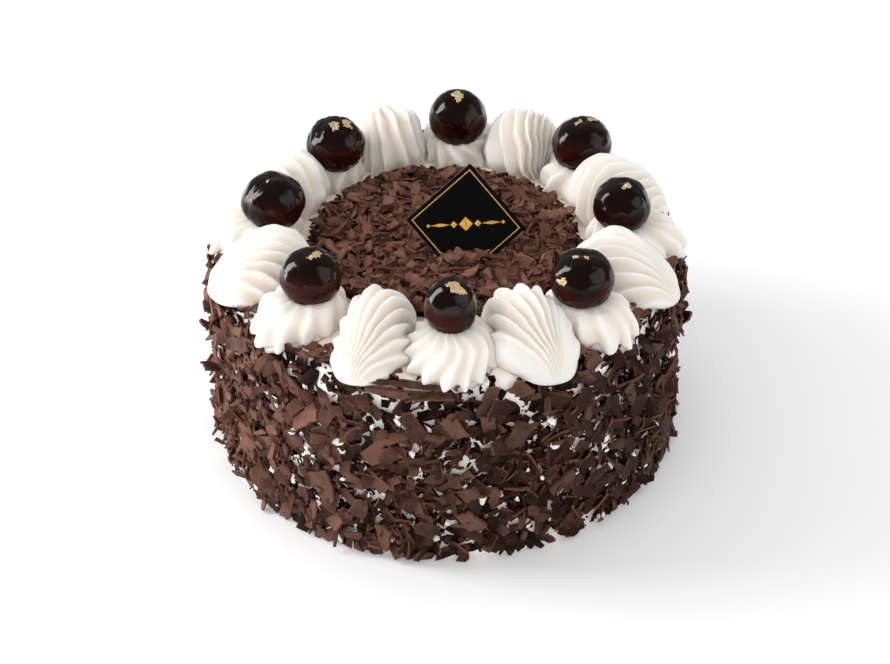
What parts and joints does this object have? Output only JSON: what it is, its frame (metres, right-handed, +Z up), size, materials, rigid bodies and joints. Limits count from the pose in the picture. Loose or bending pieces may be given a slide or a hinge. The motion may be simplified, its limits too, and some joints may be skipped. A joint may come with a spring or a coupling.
{
  "type": "black forest cake",
  "caption": "Round cream-coated cake covered in chocolate shavings, with a ring of piped cream, dark glazed cherries and a small card standing in the top.",
  "frame": {"origin": "centre of the flat base, which stands on the table", "axes": "+Z up, the front of the cake faces -Y and +X is to the right seen from the front"},
  "size_m": [0.1865, 0.1851, 0.1132],
  "materials": {
    "chocolate": "dark chocolate shavings over white cream",
    "cream": "soft satin whipped cream",
    "cherry": "wet glazed black cherry with flecks of gold leaf",
    "card": "matt black card with a thin gold border"
  },
  "bodies": {
    "root": {"cake_body": "chocolate", "cream_shell_1": "cream", "cream_shell_2": "cream", "cream_shell_3": "cream", "cream_shell_4": "cream", "cream_shell_5": "cream", "cream_shell_6": "cream", "cream_shell_7": "cream", "cream_shell_8": "cream", "cream_rosette_1": "cream", "cream_rosette_2": "cream", "cream_rosette_3": "cream", "cream_rosette_4": "cream", "cream_rosette_5": "cream", "cream_rosette_6": "cream", "cream_rosette_7": "cream", "cream_rosette_8": "cream", "cherry_1": "cherry", "cherry_2": "cherry", "cherry_3": "cherry", "cherry_4": "cherry", "cherry_5": "cherry", "cherry_6": "cherry", "cherry_7": "cherry", "cherry_8": "cherry", "card": "card"}
  },
  "joints": []
}
